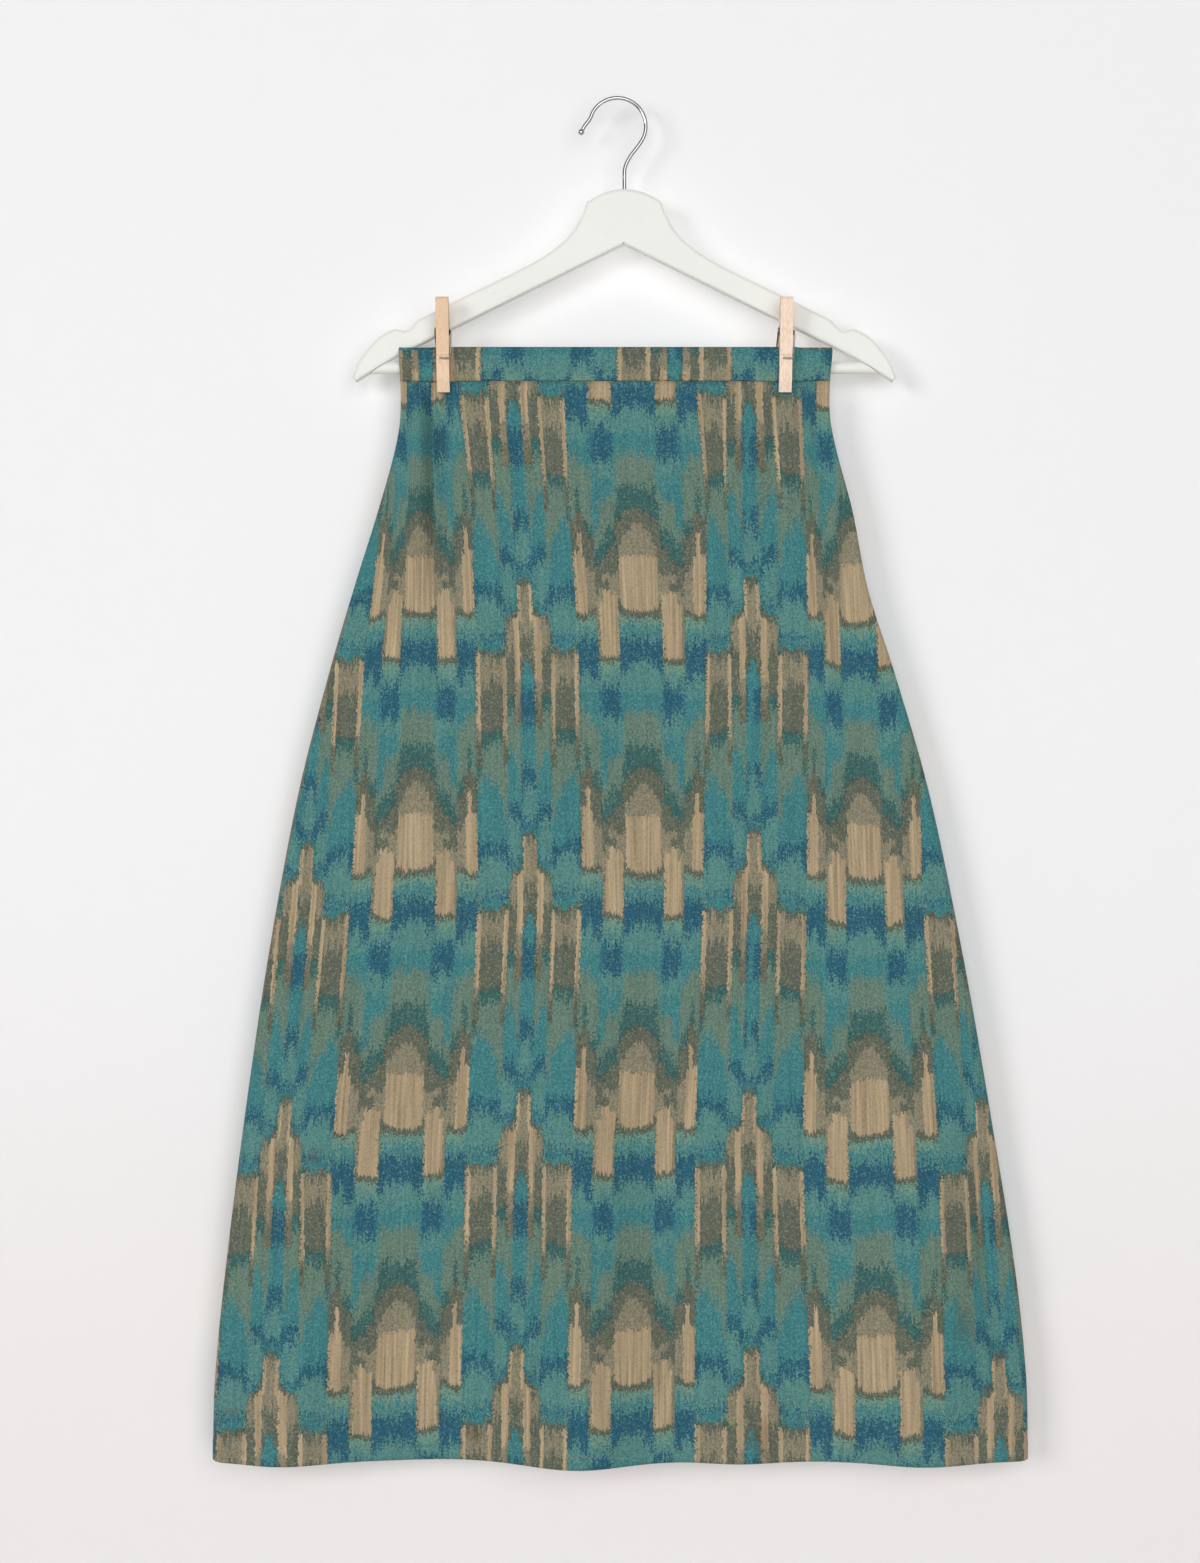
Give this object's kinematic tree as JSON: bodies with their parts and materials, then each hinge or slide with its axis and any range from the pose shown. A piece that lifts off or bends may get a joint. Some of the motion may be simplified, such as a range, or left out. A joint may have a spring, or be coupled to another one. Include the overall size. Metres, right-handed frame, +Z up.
{
  "type": "a-line skirt on a wooden trouser-bar hanger",
  "caption": "Long A-line skirt with a fitted waistband, pegged flat to the bar of a white wooden hanger with a wire hook.",
  "frame": {"origin": "inside top of the hook's wire, where the rail carries it", "axes": "+Z up, -Y towards the viewer out of the skirt's front, +X to the viewer's right"},
  "size_m": [0.6454, 0.057, 1.0791],
  "materials": {
    "skirt_cloth": "matt woven cloth, blue, teal, green and sand warp pattern",
    "zip_tape": "navy woven tape with a fine coil",
    "hanger_paint": "warm white satin paint on wood",
    "hook_wire": "polished",
    "peg_wood": "plain sanded pale wood",
    "spring_wire": "dull zinc-plated wire"
  },
  "bodies": {
    "root": {"front_panel": "skirt_cloth", "back_panel": "skirt_cloth", "front_waistband": "skirt_cloth", "back_waistband": "skirt_cloth", "side_zip": "zip_tape", "hanger_board": "hanger_paint", "hanger_bar": "hanger_paint", "hanger_hook": "hook_wire", "peg_left_front_leg": "peg_wood", "peg_left_rear_leg": "peg_wood", "peg_left_spring": "spring_wire", "peg_right_front_leg": "peg_wood", "peg_right_rear_leg": "peg_wood", "peg_right_spring": "spring_wire"}
  },
  "joints": []
}
